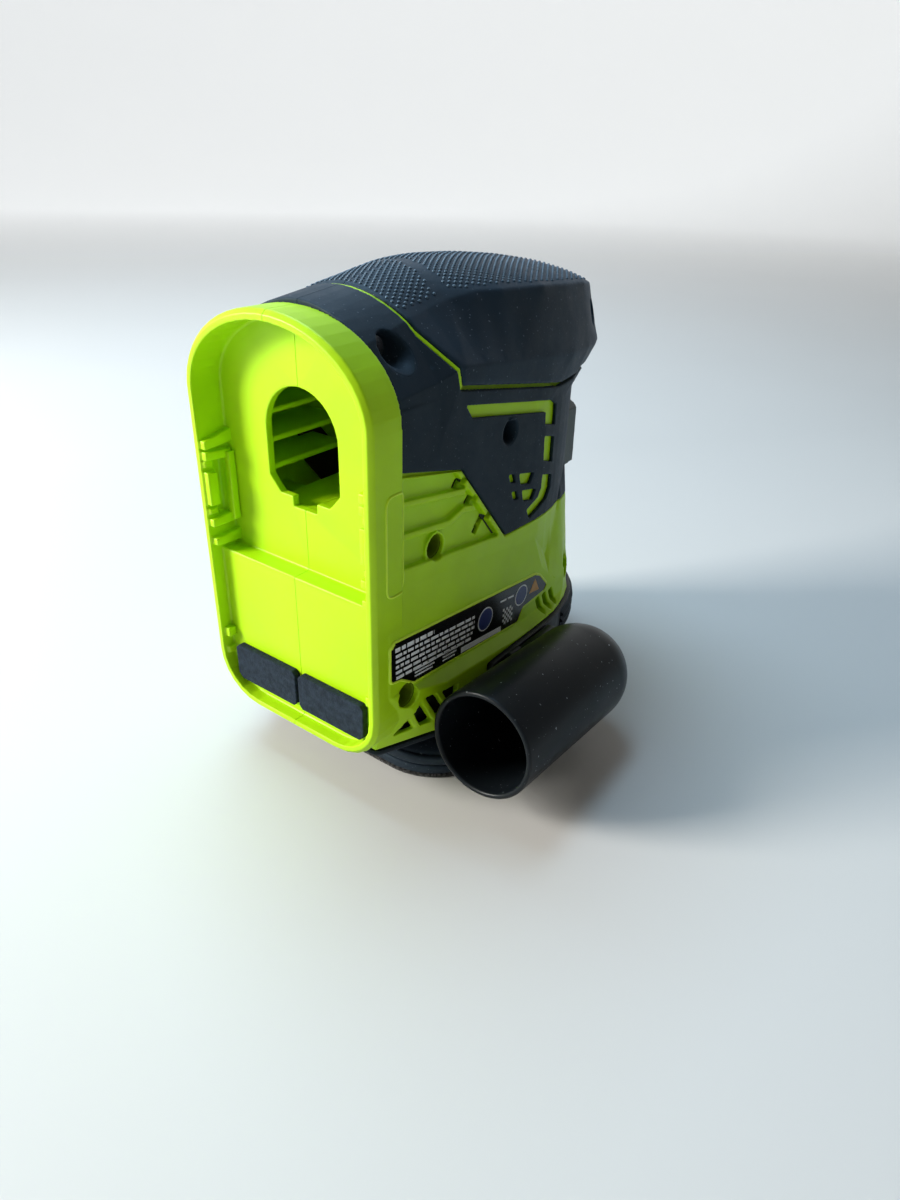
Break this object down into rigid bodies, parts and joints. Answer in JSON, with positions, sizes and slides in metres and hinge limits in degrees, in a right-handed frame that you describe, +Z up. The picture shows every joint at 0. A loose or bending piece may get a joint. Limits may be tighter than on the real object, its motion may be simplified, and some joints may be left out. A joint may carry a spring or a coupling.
{
  "type": "cordless palm orbital sander",
  "caption": "Cordless palm sander with a two-half housing, soft grip, battery socket, rocker switch, iron-shaped orbiting pad and side dust outlet tube.",
  "frame": {"origin": "on the motor's axis, in the pad's flat working face", "axes": "+Z up, away from the work, along the motor's axis; +Y forward, towards the pad's point; +X to the right, the side of the dust outlet"},
  "size_m": [0.1371, 0.1675, 0.1669],
  "materials": {
    "shell_lime": "fine spark texture",
    "soft_overmould": "matt, soft to the touch",
    "foam": "open-cell foam",
    "label": "printed film",
    "black_plastic": "satin",
    "switch_grey": "fine texture",
    "wire_red": "smooth",
    "ferrite": "matt",
    "ivory_plastic": "satin",
    "brass": "stamped",
    "steel": "ground",
    "lamination": "stacked sheets",
    "copper": "enamelled wire",
    "zinc": "die cast",
    "black_rubber": "matt",
    "hook_fabric": "hook fabric"
  },
  "bodies": {
    "housing": {"housing_right": "shell_lime", "housing_left": "shell_lime", "side_cover_right": "soft_overmould", "side_cover_left": "soft_overmould", "palm_grip_right": "soft_overmould", "palm_grip_left": "soft_overmould", "accent_bead_right": "shell_lime", "accent_bead_left": "shell_lime", "battery_pad_right": "foam", "battery_pad_left": "foam", "rating_label": "label", "terminal_block": "black_plastic", "terminal_blades": "steel", "switch_carrier": "black_plastic", "switch_module": "black_plastic", "switch_pin": "steel", "lead_wires": "wire_red", "motor_can": "steel", "motor_magnets": "ferrite", "motor_end_bell": "ivory_plastic", "upper_bearing": "steel", "lower_bearing": "steel", "brush_holders": "brass", "carbon_brushes": "ferrite", "brush_springs": "steel", "motor_mount": "black_plastic", "motor_screws": "steel", "base_shroud": "black_plastic", "skirt_seal": "black_rubber", "support_posts": "black_rubber", "post_screws": "steel", "dust_tube": "black_plastic", "tube_latch": "black_plastic", "housing_screws": "steel"},
    "rotor": {"motor_shaft": "steel", "armature_core": "lamination", "armature_windings": "copper", "commutator": "copper", "cooling_fan": "ivory_plastic", "counterweight": "zinc", "bearing_screw": "steel"},
    "pad": {"eccentric_bearing": "steel", "pad_platen": "black_plastic", "pad_rim": "black_rubber", "pad_cushion": "black_rubber", "hook_face": "hook_fabric", "platen_screws": "steel"},
    "rocker": {"power_rocker": "switch_grey"}
  },
  "joints": [
    {"name": "motor_spin", "type": "hinge", "parent": "housing", "child": "rotor", "pos_m": [0, 0, 0.0166], "axis": [0, 0, 1], "continuous": true},
    {"name": "pad_orbit", "type": "hinge", "parent": "rotor", "child": "pad", "pos_m": [0.0008, 0, 0.0166], "axis": [0, 0, 1], "continuous": true},
    {"name": "rocker_tilt", "type": "hinge", "parent": "housing", "child": "rocker", "pos_m": [0, 0.04, 0.0965], "axis": [1, 0, 0], "range_deg": [-6, 0]}
  ],
  "couplings": [
    {"joint": "pad_orbit", "follows": "motor_spin", "ratio": -1}
  ]
}
